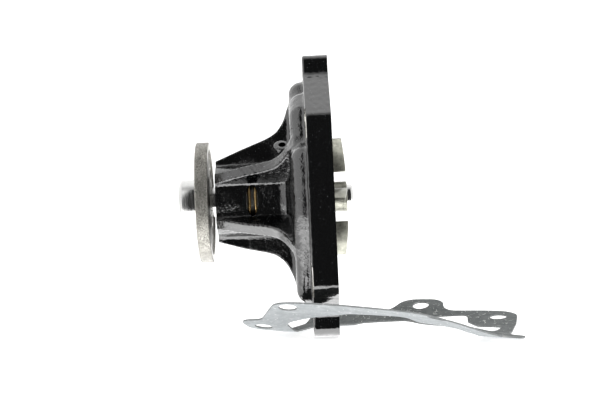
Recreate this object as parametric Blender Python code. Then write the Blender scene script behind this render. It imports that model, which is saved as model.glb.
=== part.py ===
"""Engine water pump: cast housing, hub flange, integral ball bearing, face seal,
stamped impeller and a loose fibre gasket hooked round the housing's foot.

Frame: origin on the shaft axis, in the plane of the housing's mounting face.
+X runs along the shaft towards the engine, +Z is up, the hub is at -X.
Metres throughout. Outlines of the flange and the gasket are (y, z) pairs.
"""
import math

import bmesh
import bpy
import numpy as np
from mathutils import Matrix, Vector

MM = 0.001
GAP = 0.3 * MM                      # clearance between pieces that touch

# Mounting flange and body of the casting
FLANGE_THICK = 12.8 * MM
EAR_THICK = 10.2 * MM               # seats of the top ear and the foot
EARS = ("top", "foot")
BODY_FRONT = -20.5 * MM             # front wall of the volute body
BODY_ROUND = 3.0 * MM               # rounding of the body's front edge
CAVITY_DEPTH = 15.0 * MM
FOOT_Z = -70.0 * MM
BOLT_HOLE_RADIUS = 4.6 * MM         # clearance for M8
SPOTFACE_RADIUS = 9.0 * MM
SPOTFACE_DEPTH = 0.6 * MM

# Bolt holes of the flange, (y, z)
BOLTS = {
    "near_low": (-53.5, -40.0),
    "near_high": (-53.0, 34.6),
    "top": (-18.5, 62.5),
    "far_high": (38.0, 52.0),
    "far_mid": (57.0, 6.0),
    "far_low": (42.0, -44.0),
    "foot": (-29.0, -60.5),
}

# Corners of outlines: (y, z, corner radius) in millimetres
FLANGE_CORNERS = [
    (-60, -45, 8), (-60, 39.5, 6), (-29, 63, 6), (-29, 72.2, 5), (-8, 72.2, 8), (-3, 63, 6),
    (28, 63, 5), (50, 61, 10), (51, 20, 8), (67, 17, 9), (67, -5, 9), (54, -11, 8),
    (53, -55, 10), (-15, -55, 6), (-19, -70, 8), (-39, -70, 8), (-40, -58, 5),
]
BODY_CORNERS = [
    (-53, -9, 10), (-53, 24, 6), (-41, 28, 5), (-39, 45, 5), (-27, 53, 6), (-8, 53, 6),
    (-3, 61, 6), (22, 61, 6), (27, 46, 6), (36, 40, 6), (48, 38, 7), (48, 6, 7),
    (45, -8, 8), (48, -32, 6), (32, -36, 6), (30, -54, 7), (-14, -54, 7),
    (-37, -53, 6), (-43.5, -34, 9),
]
CHAMBER_CORNERS = [
    (-47.5, -10, 9), (-48, 18, 7), (-37, 23, 6), (-34, 42, 6), (-24, 49, 6), (2, 49, 6),
    (26, 31, 16), (41, 2, 16), (41, -25, 8), (25, -46, 8), (-10, -48, 8), (-33, -47, 6),
    (-39, -32, 6),
]
PORT_CORNERS = [
    (6, 53.5, 2.5), (19, 57, 3), (23, 43, 5), (33, 36, 5), (44.5, 34, 4), (44.5, 12, 3),
    (36, 23, 12), (21, 40, 12),
]

# Barrel that carries the bearing
NOSE_X = -60.2 * MM
BARREL_RADIUS = 18.6 * MM
BEARING_RADIUS = 15.0 * MM
BEARING_FRONT = -59.6 * MM
BEARING_BACK = -26.6 * MM
CLIP_X = -41.4 * MM                 # middle of the retaining wire's groove
CLIP_HALF = 2.6 * MM
CLIP_BOTTOM = 13.3 * MM
CLIP_TOP = 16.6 * MM
WINDOW_HALF_WIDTH = 3.1 * MM
WINDOW_HALF_HEIGHT = 8.0 * MM
SEAL_BORE_RADIUS = 18.6 * MM
SEAL_SHOULDER = -20.0 * MM
WEEP_RADIUS = 3.0 * MM
WEEP_X = -23.4 * MM
VENT_ANGLE = 51.0                   # degrees above the side facing -Y
VENT_X = -25.0 * MM
VENT_ROOT = 17.5 * MM
VENT_TOP = 35.6 * MM
VENT_BOSS_RADIUS = 4.2 * MM
VENT_HOLE_RADIUS = 1.9 * MM

# Ribs: angle from the side facing -Y, half width, and crest as (x, radius)
RIB_HALF_WIDTH = 3.0 * MM
RIB_ANGLES = (35.0, -33.0, 147.0, -147.0)
TOP_RIB_ANGLE = 92.0
LOW_RIB_ANGLE = -88.6
SIDE_CREST = [(-60.0, 21.3), (-47, 26.0), (-32, 30.6), (-26, 36.0), (-21.5, 45.0), (-18.5, 50.0)]
TOP_CREST = [(-60.0, 21.3), (-46, 27.0), (-31, 33.0), (-25, 39.0), (-21.5, 47.0), (-18.5, 51.0)]
LOW_CREST = [(-60.0, 21.3), (-46, 25.4), (-32, 28.8), (-25.5, 34.0), (-21, 43.0), (-18.5, 49.0)]

# Hub flange
PILOT_RADIUS = 12.5 * MM
PILOT_TIP = -79.5 * MM
HUB_RADIUS = 31.5 * MM
HUB_FRONT = -69.9 * MM
HUB_BACK = -63.3 * MM
HUB_RECESS = 1.0 * MM
HUB_BOLT_CIRCLE = 21.0 * MM
HUB_HOLE_RADIUS = 3.6 * MM
HUB_HOLES = 4

# Shaft and bearing
SHAFT_RADIUS = 7.96 * MM
TAIL_RADIUS = 6.35 * MM
SHAFT_FRONT = -78.1 * MM
TAIL_START = -16.0 * MM
TAIL_END = 11.0 * MM
RACE_BORE = 12.3 * MM
BALL_RADIUS = 2.38 * MM
BALL_CIRCLE = 10.2 * MM
BALLS_PER_ROW = 8
FRONT_ROW_X = -53.0 * MM
BACK_ROW_X = -34.0 * MM
GROOVE_DEPTH = 0.5 * MM

# Impeller
IMPELLER_RADIUS = 30.7 * MM
IMPELLER_DISC_BACK = -1.2 * MM
IMPELLER_SHEET = 2.0 * MM
COLLAR_RADIUS = 7.95 * MM
COLLAR_FRONT = -5.0 * MM
COLLAR_BACK = 7.8 * MM
VANES = 4
VANE_INNER = 13.5 * MM
VANE_SWEEP = 18.0
VANE_PHASE = 87.0
VANE_INNER_X = 7.8 * MM
VANE_OUTER_X = 6.0 * MM
VANE_HALF_THICK = 0.9 * MM

# Gasket: the flange's outline in sheet, bent into a trough round the foot
GASKET_THICK = 0.8 * MM
GASKET_YAW = 15.5
GASKET_CENTRE = (26.5 * MM, -13.0 * MM)
GASKET_SHRINK = (0.98, 0.97)        # plan shortening that the bending brings
GASKET_REST = 0.4 * MM
TABLE_TILT = math.radians(2.6)      # the pump leans on its foot, so the table falls towards +X
# Where the sheet is held or rests: (x, y, height above the foot's plane) in millimetres
GASKET_LIFTS = [
    (-25, -53, 17.1), (0, -67, 17.7), (0, -55, 13.4), (30, -74, 13.7), (31, -62, 10.4),
    (45, -71, 10.0), (48, -79, 9.5), (78, -56, -1.9), (81, -46, -3.5), (90, -48, -3.9),
    (68, -44, -1.9), (-38, -24, 5.4), (-47, -22, 6.5), (-26, -5, 0.5), (5, 34, 0.0),
    (3, 47, 4.8), (45, 23, 0.5), (47, 39, 7.7), (50, 48, 9.9), (86, 9, 1.8), (97, 18, 2.9),
    (70, 0, -1.5),
]

COLOURS = {                         # base colour, metallic, roughness
    "black_paint": ((0.012, 0.013, 0.014), 0.0, 0.22),
    "hub_steel": ((0.42, 0.41, 0.38), 0.9, 0.55),
    "bright_steel": ((0.62, 0.61, 0.60), 1.0, 0.22),
    "race_steel": ((0.50, 0.49, 0.46), 1.0, 0.3),
    "spring_wire": ((0.72, 0.50, 0.22), 1.0, 0.3),
    "brass": ((0.75, 0.55, 0.25), 1.0, 0.3),
    "rubber": ((0.02, 0.02, 0.02), 0.0, 0.7),
    "carbon": ((0.03, 0.03, 0.032), 0.0, 0.5),
    "ceramic": ((0.85, 0.84, 0.80), 0.0, 0.35),
    "cage": ((0.35, 0.22, 0.10), 0.0, 0.5),
    "sheet_steel": ((0.46, 0.46, 0.42), 0.9, 0.42),
    "fibre": ((0.55, 0.57, 0.57), 0.0, 0.8),
}


def clear_scene():
    for obj in list(bpy.data.objects):
        bpy.data.objects.remove(obj, do_unlink=True)


def material(name):
    found = bpy.data.materials.get(name)
    if found:
        return found
    colour, metallic, roughness = COLOURS[name]
    made = bpy.data.materials.new(name)
    made.use_nodes = True
    shader = made.node_tree.nodes["Principled BSDF"]
    shader.inputs["Base Color"].default_value = (*colour, 1.0)
    shader.inputs["Metallic"].default_value = metallic
    shader.inputs["Roughness"].default_value = roughness
    return made


def add_mesh(name, bm, finish):
    """Turn a bmesh into an object with outward faces and its own material."""
    bmesh.ops.recalc_face_normals(bm, faces=bm.faces)
    mesh = bpy.data.meshes.new(name)
    bm.to_mesh(mesh)
    bm.free()
    mesh.shade_smooth()
    mesh.set_sharp_from_angle(angle=math.radians(35))
    mesh.materials.append(material(finish))
    obj = bpy.data.objects.new(name, mesh)
    bpy.context.collection.objects.link(obj)
    return obj


def polar(radius, degrees):
    """Point at an angle measured from the -Y side towards +Z, as (y, z)."""
    turn = math.radians(degrees)
    return -radius * math.cos(turn), radius * math.sin(turn)


def turned_mesh(bm, profile, segments):
    """Spin a closed (x, radius) profile round the X axis; radius 0 makes a pole."""
    rings = []
    for x, radius in profile:
        if radius == 0:
            rings.append([bm.verts.new((x, 0, 0))] * segments)
            continue
        ring = [bm.verts.new((x, *polar(radius, 360.0 * step / segments)))
                for step in range(segments)]
        rings.append(ring)
    for here, there in zip(rings, rings[1:] + rings[:1]):
        for step in range(segments):
            after = (step + 1) % segments
            corners = [here[step], here[after], there[after], there[step]]
            unique = list(dict.fromkeys(corners))
            if len(unique) > 2:
                bm.faces.new(unique)


def turned(name, profile, segments, finish):
    bm = bmesh.new()
    turned_mesh(bm, profile, segments)
    return add_mesh(name, bm, finish)


def rounded(corners, steps=4):
    """Polygon with rounded corners; corners are (y, z, radius) in millimetres."""
    outline = []
    for index, (y, z, radius) in enumerate(corners):
        here = Vector((y, z)) * MM
        before = Vector(corners[index - 1][:2]) * MM - here
        after = Vector(corners[(index + 1) % len(corners)][:2]) * MM - here
        half = before.angle(after) / 2
        reach = min(radius * MM / math.tan(half), 0.48 * before.length, 0.48 * after.length)
        start, end = here + before.normalized() * reach, here + after.normalized() * reach
        centre = here + (before.normalized() + after.normalized()).normalized() * reach / math.cos(half)
        sweep = (start - centre).angle_signed(end - centre)
        for step in range(steps + 1):
            turn = Matrix.Rotation(-sweep * step / steps, 2)
            outline.append(centre + turn @ (start - centre))
    return outline


def shrunk(outline, distance):
    """Move each point of an outline inwards along its normal."""
    area = sum(a.x * b.y - b.x * a.y for a, b in zip(outline, outline[1:] + outline[:1]))
    side = 1 if area > 0 else -1
    moved = []
    for index, here in enumerate(outline):
        along = (outline[(index + 1) % len(outline)] - outline[index - 1]).normalized()
        moved.append(here + side * distance * Vector((-along.y, along.x)))
    return moved


def lofted(name, layers, finish):
    """Solid through outlines of equal length; layers are (x, outline)."""
    bm = bmesh.new()
    rings = [[bm.verts.new((x, p.x, p.y)) for p in outline] for x, outline in layers]
    for here, there in zip(rings, rings[1:]):
        for index in range(len(here)):
            after = (index + 1) % len(here)
            bm.faces.new((here[index], here[after], there[after], there[index]))
    bm.faces.new(rings[0])
    bm.faces.new(rings[-1])
    return add_mesh(name, bm, finish)


def combine(target, others, operation):
    """Apply Booleans to the target and remove the other objects."""
    for other in others:
        step = target.modifiers.new(other.name, "BOOLEAN")
        step.object = other
        step.operation = operation
        step.solver = "EXACT"
    depsgraph = bpy.context.evaluated_depsgraph_get()
    mesh = bpy.data.meshes.new_from_object(target.evaluated_get(depsgraph))
    target.modifiers.clear()
    target.data = mesh
    for other in others:
        bpy.data.objects.remove(other, do_unlink=True)
    return target


def rod(name, start, end, radius, segments, finish):
    """Round rod between two points."""
    start, end = Vector(start), Vector(end)
    bm = bmesh.new()
    length = (end - start).length
    bmesh.ops.create_cone(bm, cap_ends=True, segments=segments, radius1=radius,
                          radius2=radius, depth=length)
    turn = (end - start).to_track_quat("Z", "Y").to_matrix().to_4x4()
    bmesh.ops.transform(bm, matrix=Matrix.Translation((start + end) / 2) @ turn, verts=bm.verts)
    return add_mesh(name, bm, finish)


def tube(name, path, radius, sides, finish):
    """Round tube along a list of points, swept with a steady frame."""
    bm = bmesh.new()
    rings = []
    normal = None
    for index, here in enumerate(path):
        before, after = path[max(index - 1, 0)], path[min(index + 1, len(path) - 1)]
        along = (after - before).normalized()
        guide = Vector((1, 0, 0)) if normal is None else normal
        normal = (guide - guide.dot(along) * along).normalized()
        other = along.cross(normal)
        rings.append([bm.verts.new(here + radius * (math.cos(turn) * normal + math.sin(turn) * other))
                      for turn in (2 * math.pi * side / sides for side in range(sides))])
    for here, there in zip(rings, rings[1:]):
        for side in range(sides):
            after = (side + 1) % sides
            bm.faces.new((here[side], here[after], there[after], there[side]))
    bm.faces.new(rings[0])
    bm.faces.new(rings[-1])
    return add_mesh(name, bm, finish)


def smooth_crest(points, steps=3):
    """Catmull-Rom curve through (x, radius) points given in millimetres."""
    knots = [Vector(point) * MM for point in points]
    ends = [2 * knots[0] - knots[1]] + knots + [2 * knots[-1] - knots[-2]]
    curve = []
    for a, b, c, d in zip(ends, ends[1:], ends[2:], ends[3:]):
        for step in range(steps):
            t = step / steps
            curve.append(0.5 * (2 * b + (c - a) * t + (2 * a - 5 * b + 4 * c - d) * t ** 2
                                + (3 * b - a - 3 * c + d) * t ** 3))
    return curve + [knots[-1]]


def rib(name, angle, crest):
    """Radial web with a narrower crest, from the barrel out to its crest curve."""
    curve = smooth_crest(crest)
    root = BEARING_RADIUS + 1.5 * MM
    side = [Vector((p.x, p.y - 0.9 * MM)) for p in curve]
    sections = [(-RIB_HALF_WIDTH, side), (-RIB_HALF_WIDTH + 0.9 * MM, curve),
                (RIB_HALF_WIDTH - 0.9 * MM, curve), (RIB_HALF_WIDTH, side)]
    turn = Matrix.Rotation(math.radians(90 - angle), 4, "X")
    bm = bmesh.new()
    rows = []
    for offset, line in sections:
        rows.append([bm.verts.new(turn @ Vector((p.x, offset, p.y))) for p in line])
    feet = []
    for offset in (-RIB_HALF_WIDTH, RIB_HALF_WIDTH):
        feet.append([bm.verts.new(turn @ Vector((p.x, offset, root))) for p in curve])
    strips = [feet[0]] + rows + [feet[1]]
    for here, there in zip(strips, strips[1:] + strips[:1]):
        for index in range(len(curve) - 1):
            bm.faces.new((here[index], here[index + 1], there[index + 1], there[index]))
    bm.faces.new([strip[0] for strip in strips])
    bm.faces.new([strip[-1] for strip in strips])
    return add_mesh(name, bm, "black_paint")


def flange_solid():
    outline = rounded(FLANGE_CORNERS)
    edge = 0.8 * MM
    layers = [(0.0, outline), (-FLANGE_THICK + edge, outline),
              (-FLANGE_THICK, shrunk(outline, edge))]
    return lofted("pump_housing", layers, "black_paint")


def body_solid():
    outline = rounded(BODY_CORNERS, steps=3)
    back = -FLANGE_THICK + 3 * MM
    layers = [(back, outline), (BODY_FRONT + BODY_ROUND, outline),
              (BODY_FRONT + 0.29 * BODY_ROUND, shrunk(outline, 0.29 * BODY_ROUND)),
              (BODY_FRONT, shrunk(outline, BODY_ROUND))]
    return lofted("body", layers, "black_paint")


def barrel_solid():
    """Barrel with a slightly rounded nose, flaring into the body's front wall."""
    profile = [(NOSE_X, 16.2 * MM), (NOSE_X, BARREL_RADIUS - 0.6 * MM),
               (NOSE_X + 0.6 * MM, BARREL_RADIUS), (-35 * MM, 19.2 * MM), (-27 * MM, 19.6 * MM),
               (-24 * MM, 20.6 * MM), (-22 * MM, 23.5 * MM), (-20.5 * MM, 28 * MM),
               (-19 * MM, 30 * MM), (-16 * MM, 30.5 * MM), (-16 * MM, 16.2 * MM)]
    return turned("barrel", profile, 40, "black_paint")


def housing_cutters():
    """Everything that is bored, milled or cored out of the casting."""
    deep = 1 * MM
    chamber = rounded(CHAMBER_CORNERS, steps=3)
    port = rounded(PORT_CORNERS, steps=2)
    bore = [(NOSE_X - deep, 0), (NOSE_X - deep, BEARING_RADIUS + GAP),
            (CLIP_X - CLIP_HALF - GAP, BEARING_RADIUS + GAP),
            (CLIP_X - CLIP_HALF - GAP, CLIP_TOP), (CLIP_X + CLIP_HALF + GAP, CLIP_TOP),
            (CLIP_X + CLIP_HALF + GAP, BEARING_RADIUS + GAP),
            (BEARING_BACK + GAP, BEARING_RADIUS + GAP), (BEARING_BACK + GAP, 13.4 * MM),
            (BEARING_BACK + 1.5 * MM, 13.4 * MM), (BEARING_BACK + 2.1 * MM, 16.4 * MM),
            (SEAL_SHOULDER, 16.4 * MM), (SEAL_SHOULDER, SEAL_BORE_RADIUS),
            (deep - CAVITY_DEPTH, SEAL_BORE_RADIUS), (deep - CAVITY_DEPTH, 0)]
    cutters = [turned("bore", bore, 40, "black_paint"),
               lofted("chamber", [(-CAVITY_DEPTH, chamber), (deep, chamber)], "black_paint"),
               lofted("port", [(-CAVITY_DEPTH, port), (deep, port)], "black_paint")]
    for name, (y, z) in BOLTS.items():
        centre = (y * MM, z * MM)
        cutters.append(rod("hole_" + name, (-30 * MM, *centre), (5 * MM, *centre),
                           BOLT_HOLE_RADIUS, 16, "black_paint"))
        seat = -EAR_THICK if name in EARS else SPOTFACE_DEPTH - FLANGE_THICK
        cutters.append(rod("seat_" + name, (-30 * MM, *centre), (seat, *centre),
                           SPOTFACE_RADIUS, 24, "black_paint"))
    window = rounded([(-1, -1, 1), (1, -1, 1), (1, 1, 1), (-1, 1, 1)], steps=3)
    window = [Vector((p.x / MM * WINDOW_HALF_WIDTH, p.y / MM * WINDOW_HALF_HEIGHT)) for p in window]
    bm = bmesh.new()
    ends = [[bm.verts.new((CLIP_X + p.x, y, p.y)) for p in window] for y in (-30 * MM, -12 * MM)]
    for index in range(len(window)):
        after = (index + 1) % len(window)
        bm.faces.new((ends[0][index], ends[0][after], ends[1][after], ends[1][index]))
    bm.faces.new(ends[0])
    bm.faces.new(ends[1])
    cutters.append(add_mesh("window", bm, "black_paint"))
    cutters.append(rod("weep", (WEEP_X, 6 * MM, -14 * MM), (WEEP_X, 6 * MM, -60 * MM),
                       WEEP_RADIUS, 12, "black_paint"))
    low = polar(14 * MM, VENT_ANGLE)
    high = polar(VENT_TOP + 3 * MM, VENT_ANGLE)
    cutters.append(rod("vent", (WEEP_X, *low), (VENT_X, *high), VENT_HOLE_RADIUS, 12, "black_paint"))
    return cutters


def housing():
    base = flange_solid()
    low, high = polar(VENT_ROOT, VENT_ANGLE), polar(VENT_TOP, VENT_ANGLE)
    boss = rod("boss", (VENT_X, *low), (VENT_X, *high), VENT_BOSS_RADIUS, 20, "black_paint")
    ribs = [rib("side_rib", angle, SIDE_CREST) for angle in RIB_ANGLES]
    ribs.append(rib("top_rib", TOP_RIB_ANGLE, TOP_CREST))
    ribs.append(rib("low_rib", LOW_RIB_ANGLE, LOW_CREST))
    combine(base, [body_solid(), barrel_solid(), boss] + ribs, "UNION")
    combine(base, housing_cutters(), "DIFFERENCE")
    base.data.shade_smooth()
    base.data.set_sharp_from_angle(angle=math.radians(35))
    return base


def hub_flange():
    bore = SHAFT_RADIUS + GAP
    edge = 0.7 * MM
    profile = [(PILOT_TIP, bore), (PILOT_TIP, PILOT_RADIUS - 1.4 * MM),
               (PILOT_TIP + 0.5 * MM, PILOT_RADIUS - 0.5 * MM), (PILOT_TIP + 1.6 * MM, PILOT_RADIUS),
               (HUB_FRONT, PILOT_RADIUS), (HUB_FRONT, HUB_RADIUS - edge),
               (HUB_FRONT + edge, HUB_RADIUS), (HUB_BACK - edge, HUB_RADIUS),
               (HUB_BACK, HUB_RADIUS - edge), (HUB_BACK, 27.5 * MM),
               (HUB_BACK - HUB_RECESS, 26.8 * MM), (HUB_BACK - HUB_RECESS, bore)]
    hub = turned("hub_flange", profile, 48, "hub_steel")
    holes = []
    for index in range(HUB_HOLES):
        centre = polar(HUB_BOLT_CIRCLE, 45 + 360 / HUB_HOLES * index)
        holes.append(rod("thread_%d" % index, (-75 * MM, *centre), (-60 * MM, *centre),
                         HUB_HOLE_RADIUS, 12, "hub_steel"))
    return combine(hub, holes, "DIFFERENCE")


def groove(x, radius, outward):
    """Half-round ball track in a turned profile, running towards +X."""
    deep = GROOVE_DEPTH if outward else -GROOVE_DEPTH
    half = 1.5 * MM
    return [(x - half, radius), (x - 0.8 * MM, radius + deep), (x + 0.8 * MM, radius + deep),
            (x + half, radius)]


def shaft():
    profile = [(SHAFT_FRONT, 0), (SHAFT_FRONT, SHAFT_RADIUS - 1.0 * MM),
               (SHAFT_FRONT + 1.0 * MM, SHAFT_RADIUS)]
    profile += groove(FRONT_ROW_X, SHAFT_RADIUS, False) + groove(BACK_ROW_X, SHAFT_RADIUS, False)
    profile += [(TAIL_START - 0.8 * MM, SHAFT_RADIUS), (TAIL_START, TAIL_RADIUS),
                (TAIL_END - 1.3 * MM, TAIL_RADIUS), (TAIL_END - 0.4 * MM, TAIL_RADIUS - 0.5 * MM),
                (TAIL_END, TAIL_RADIUS - 1.5 * MM), (TAIL_END, 0)]
    return turned("bearing_shaft", profile, 32, "bright_steel")


def outer_race():
    edge = 0.5 * MM
    back = list(reversed(groove(BACK_ROW_X, RACE_BORE, True)))
    front = list(reversed(groove(FRONT_ROW_X, RACE_BORE, True)))
    profile = [(BEARING_FRONT, BEARING_RADIUS - edge), (BEARING_FRONT + edge, BEARING_RADIUS),
               (CLIP_X - CLIP_HALF, BEARING_RADIUS), (CLIP_X - CLIP_HALF, CLIP_BOTTOM),
               (CLIP_X + CLIP_HALF, CLIP_BOTTOM), (CLIP_X + CLIP_HALF, BEARING_RADIUS),
               (BEARING_BACK - edge, BEARING_RADIUS), (BEARING_BACK, BEARING_RADIUS - edge),
               (BEARING_BACK, RACE_BORE)] + back + front + [(BEARING_FRONT, RACE_BORE)]
    return turned("bearing_outer_race", profile, 36, "race_steel")


def ball_row(name, x):
    for index in range(BALLS_PER_ROW):
        place = Matrix.Translation((x, *polar(BALL_CIRCLE, 360 / BALLS_PER_ROW * index)))
        bm = bmesh.new()
        bmesh.ops.create_uvsphere(bm, u_segments=8, v_segments=5,
                                  radius=BALL_RADIUS, matrix=place)
        add_mesh("%s_%d" % (name, index + 1), bm, "bright_steel")


def ball_cage(name, x, side):
    """Crown cage: a ring behind the balls with a finger between each pair."""
    inner, outer = BALL_CIRCLE - 0.8 * MM, BALL_CIRCLE + 0.8 * MM
    ring_near, ring_far = x + side * (BALL_RADIUS + GAP), x + side * (BALL_RADIUS + 1.7 * MM)
    finger = x - side * 1.0 * MM
    half_gap = 17.0
    bm = bmesh.new()
    stations = []
    for index in range(BALLS_PER_ROW):
        centre = 360 / BALLS_PER_ROW * index
        pitch = 360 / BALLS_PER_ROW
        stations += [(centre - half_gap, ring_near), (centre, ring_near),
                     (centre + half_gap, ring_near), (centre + half_gap, finger),
                     (centre + pitch - half_gap, finger)]
    rings = []
    for angle, edge in stations:
        corners = [(ring_far, inner), (ring_far, outer), (edge, outer), (edge, inner)]
        rings.append([bm.verts.new((px, *polar(radius, angle))) for px, radius in corners])
    for here, there in zip(rings, rings[1:] + rings[:1]):
        for index in range(4):
            after = (index + 1) % 4
            bm.faces.new((here[index], here[after], there[after], there[index]))
    bmesh.ops.remove_doubles(bm, verts=bm.verts, dist=0.00001)
    bmesh.ops.dissolve_degenerate(bm, edges=bm.edges, dist=0.00001)
    return add_mesh(name, bm, "cage")


def bearing_seal(name, outside, side):
    """Thin lip seal pressed in the end of the race's bore; side points inwards."""
    inner, outer = SHAFT_RADIUS + 0.35 * MM, RACE_BORE - GAP
    x = outside + side * 0.6 * MM
    profile = [(x, outer), (x, inner + 0.9 * MM), (x - side * 0.25 * MM, inner),
               (x + side * 0.6 * MM, inner), (x + side * 1.1 * MM, inner + 1.1 * MM),
               (x + side * 1.4 * MM, outer)]
    return turned(name, profile, 28, "rubber")


def retaining_wire():
    """Hairpin wire clip: two arcs side by side in the groove, joined by a bend."""
    radius = 14.95 * MM
    wire = 0.75 * MM
    offset = 1.65 * MM
    spread = 118.0
    steps = 18
    forth = [Vector((CLIP_X - offset, *polar(radius, -spread + 2 * spread * step / steps)))
             for step in range(steps + 1)]
    bend = [Vector((CLIP_X - offset * math.cos(turn), *polar(radius, spread + 7 * math.sin(turn))))
            for turn in (math.pi * step / 4 for step in range(1, 4))]
    back = [Vector((CLIP_X + offset, p.y, p.z)) for p in reversed(forth)]
    return tube("bearing_retaining_wire", forth + bend + back, wire, 6, "spring_wire")


def slinger():
    bore = SHAFT_RADIUS + GAP
    profile = [(-25.2 * MM, bore), (-25.2 * MM, 9.6 * MM), (-24.2 * MM, 9.6 * MM),
               (-23.6 * MM, 12.6 * MM), (-22.8 * MM, 12.6 * MM), (-23.0 * MM, 9.6 * MM),
               (-22.2 * MM, 9.6 * MM), (-22.2 * MM, bore)]
    return turned("slinger", profile, 28, "sheet_steel")


def seal_cup():
    """Drawn case: a tube pressed in the seal bore, with a lip on the chamber wall."""
    outer, wall = SEAL_BORE_RADIUS - GAP, 0.9 * MM
    front, lip = SEAL_SHOULDER + GAP, GAP - CAVITY_DEPTH
    profile = [(front, 12.0 * MM), (front, outer - 0.8 * MM), (front + 0.8 * MM, outer), (lip, outer),
               (lip, outer + 2.2 * MM), (lip + wall, outer + 2.2 * MM), (lip + wall, outer - wall),
               (front + 1.6 * MM, outer - wall), (front + wall, outer - 1.8 * MM),
               (front + wall, 12.0 * MM)]
    return turned("seal_cup", profile, 36, "brass")


def seal_bellows():
    start = SEAL_SHOULDER + 1.6 * MM
    profile = [(start, 11.2 * MM), (start, 16.6 * MM), (start + 1.0 * MM, 16.6 * MM),
               (start + 1.2 * MM, 12.6 * MM), (start + 3.0 * MM, 12.1 * MM),
               (start + 4.4 * MM, 12.1 * MM), (start + 5.2 * MM, 11.7 * MM),
               (start + 5.2 * MM, 10.4 * MM), (start + 2.4 * MM, 10.4 * MM)]
    return turned("seal_bellows", profile, 28, "rubber")


def seal_spring():
    turns, radius, wire = 2.2, 14.3 * MM, 0.6 * MM
    start, pitch = -15.9 * MM, 1.45 * MM
    steps = int(turns * 16)
    path = [Vector((start + pitch * turns * step / steps,
                    *polar(radius, 360 * turns * step / steps))) for step in range(steps + 1)]
    return tube("seal_spring", path, wire, 6, "bright_steel")


def seal_retainers():
    """Ring in the cup that seats the spring, and the ring that pushes the carbon."""
    thick = 0.3 * MM
    front = -16.85 * MM
    turned("seal_front_retainer", [(front, 13.1 * MM), (front, 16.9 * MM), (front + thick, 16.9 * MM),
                                   (front + thick, 13.1 * MM)], 28, "bright_steel")
    back = -11.85 * MM
    turned("seal_rear_retainer", [(back, 12.1 * MM), (back, 15.6 * MM), (back + 2 * thick, 15.6 * MM),
                                  (back + 2 * thick, 12.1 * MM)], 28, "bright_steel")


def carbon_ring():
    profile = [(-12.9 * MM, 9.2 * MM), (-12.9 * MM, 11.7 * MM), (-11.0 * MM, 11.7 * MM),
               (-11.0 * MM, 13.6 * MM), (-9.6 * MM, 13.6 * MM), (-9.6 * MM, 12.6 * MM),
               (-9.0 * MM, 12.4 * MM), (-9.0 * MM, 9.2 * MM)]
    return turned("carbon_ring", profile, 28, "carbon")


def rotating_seat():
    """Ceramic face on the shaft, carried by a rubber cup behind it."""
    turned("ceramic_seat", [(-8.7 * MM, 8.9 * MM), (-8.7 * MM, 13.4 * MM), (-5.4 * MM, 13.4 * MM),
                            (-5.4 * MM, 8.9 * MM)], 32, "ceramic")
    turned("seat_rubber_cup", [(-8.2 * MM, TAIL_RADIUS + GAP), (-8.2 * MM, 8.6 * MM),
                               (-5.1 * MM, 8.6 * MM), (-5.1 * MM, 13.7 * MM), (-7.8 * MM, 13.7 * MM),
                               (-7.8 * MM, 15.0 * MM), (-3.9 * MM, 15.0 * MM),
                               (-3.9 * MM, COLLAR_RADIUS + GAP), (-5.3 * MM, COLLAR_RADIUS + GAP),
                               (-5.3 * MM, TAIL_RADIUS + GAP)], 32, "rubber")


def impeller():
    """Pressed disc with a drawn collar and vanes that stand out towards the engine."""
    bore = TAIL_RADIUS + GAP
    front = IMPELLER_DISC_BACK - IMPELLER_SHEET
    profile = [(COLLAR_FRONT, bore), (COLLAR_FRONT, COLLAR_RADIUS), (front, COLLAR_RADIUS),
               (front, IMPELLER_RADIUS), (IMPELLER_DISC_BACK, IMPELLER_RADIUS),
               (IMPELLER_DISC_BACK, COLLAR_RADIUS + 1 * MM), (IMPELLER_DISC_BACK + 1 * MM, COLLAR_RADIUS),
               (COLLAR_BACK - 0.4 * MM, COLLAR_RADIUS), (COLLAR_BACK, COLLAR_RADIUS - 0.4 * MM),
               (COLLAR_BACK, bore)]
    disc = turned("impeller", profile, 48, "sheet_steel")
    vanes = []
    for index in range(VANES):
        vanes.append(vane("vane_%d" % index, VANE_PHASE + 360 / VANES * index))
    return combine(disc, vanes, "UNION")


def vane(name, phase):
    steps = 5
    root = IMPELLER_DISC_BACK - 1.2 * MM
    bm = bmesh.new()
    rings = []
    for step in range(steps + 1):
        t = step / steps
        radius = VANE_INNER + (IMPELLER_RADIUS - 0.1 * MM - VANE_INNER) * t
        angle = phase + VANE_SWEEP * (1 - t)
        half = math.degrees(VANE_HALF_THICK / radius)
        top = VANE_INNER_X + (VANE_OUTER_X - VANE_INNER_X) * t ** 1.5
        rings.append([bm.verts.new((x, *polar(radius, angle + side)))
                      for x, side in ((root, -half), (top, -half), (top, half), (root, half))])
    for here, there in zip(rings, rings[1:]):
        for index in range(4):
            after = (index + 1) % 4
            bm.faces.new((here[index], here[after], there[after], there[index]))
    bm.faces.new(rings[0])
    bm.faces.new(rings[-1])
    return add_mesh(name, bm, "sheet_steel")


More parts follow.
